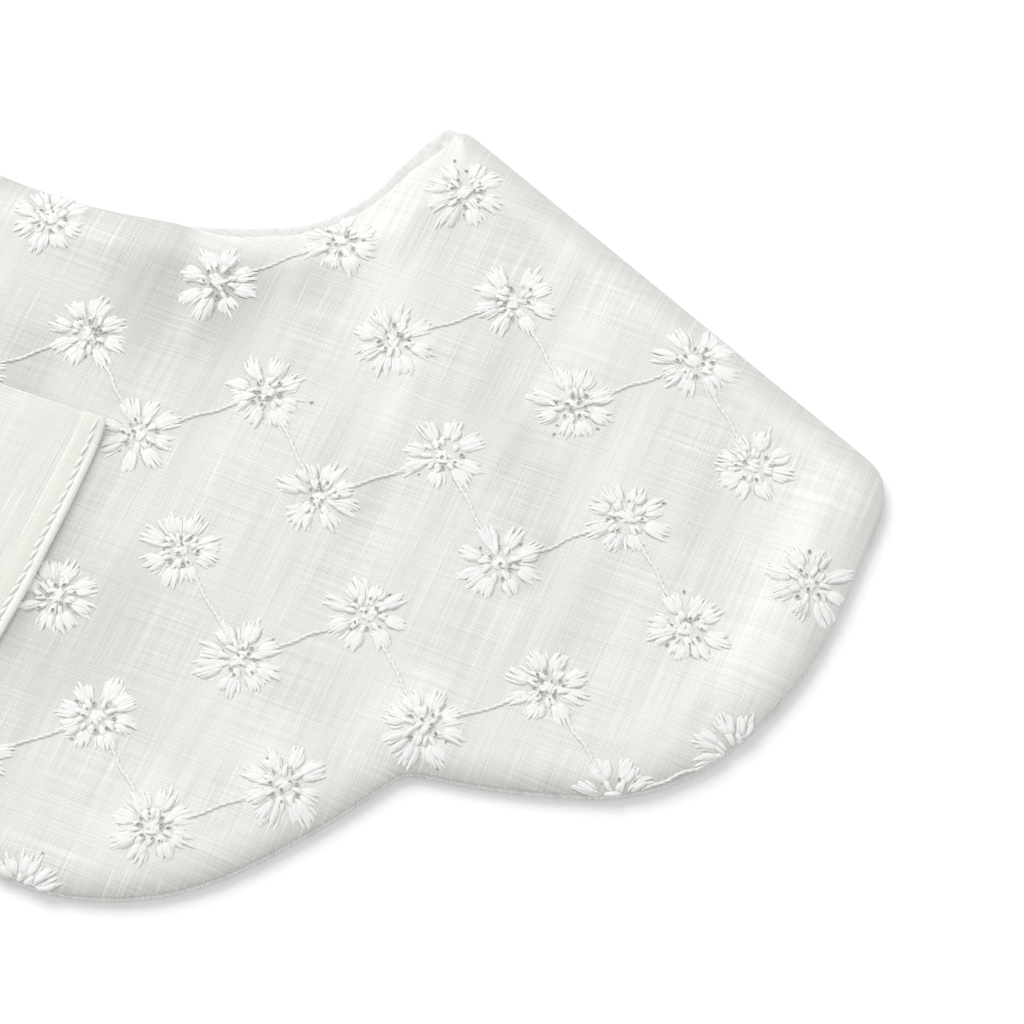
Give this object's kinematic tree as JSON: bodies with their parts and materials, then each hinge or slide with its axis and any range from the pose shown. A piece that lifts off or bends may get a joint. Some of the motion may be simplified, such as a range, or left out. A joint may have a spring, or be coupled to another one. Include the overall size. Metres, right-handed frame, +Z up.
{
  "type": "embroidered baby bib",
  "caption": "Baby bib laid flat: embroidered cotton front on a plain lining, scalloped hem, U neckline, chest label, and a neck strap that closes with a press stud.",
  "frame": {"origin": "middle of the bounding box on the surface that the bib lies on", "axes": "+X towards the bib's side that is on the right when its embroidered side faces up and its neckline points away, +Y towards the neckline, +Z up out of the embroidered side"},
  "size_m": [0.3364, 0.269, 0.0051],
  "materials": {
    "embroidered_cotton": "matte white cotton voile with raised satin-stitch embroidery",
    "lining_cotton": "matte plain white cotton",
    "label_tape": "smooth cream cotton tape",
    "strap_cotton": "matte plain white cotton",
    "stud_plastic": "satin milky plastic"
  },
  "bodies": {
    "root": {"front_panel": "embroidered_cotton", "back_lining": "lining_cotton", "centre_label": "label_tape", "neck_strap": "strap_cotton", "press_stud_post": "stud_plastic", "press_stud_socket": "stud_plastic"}
  },
  "joints": []
}
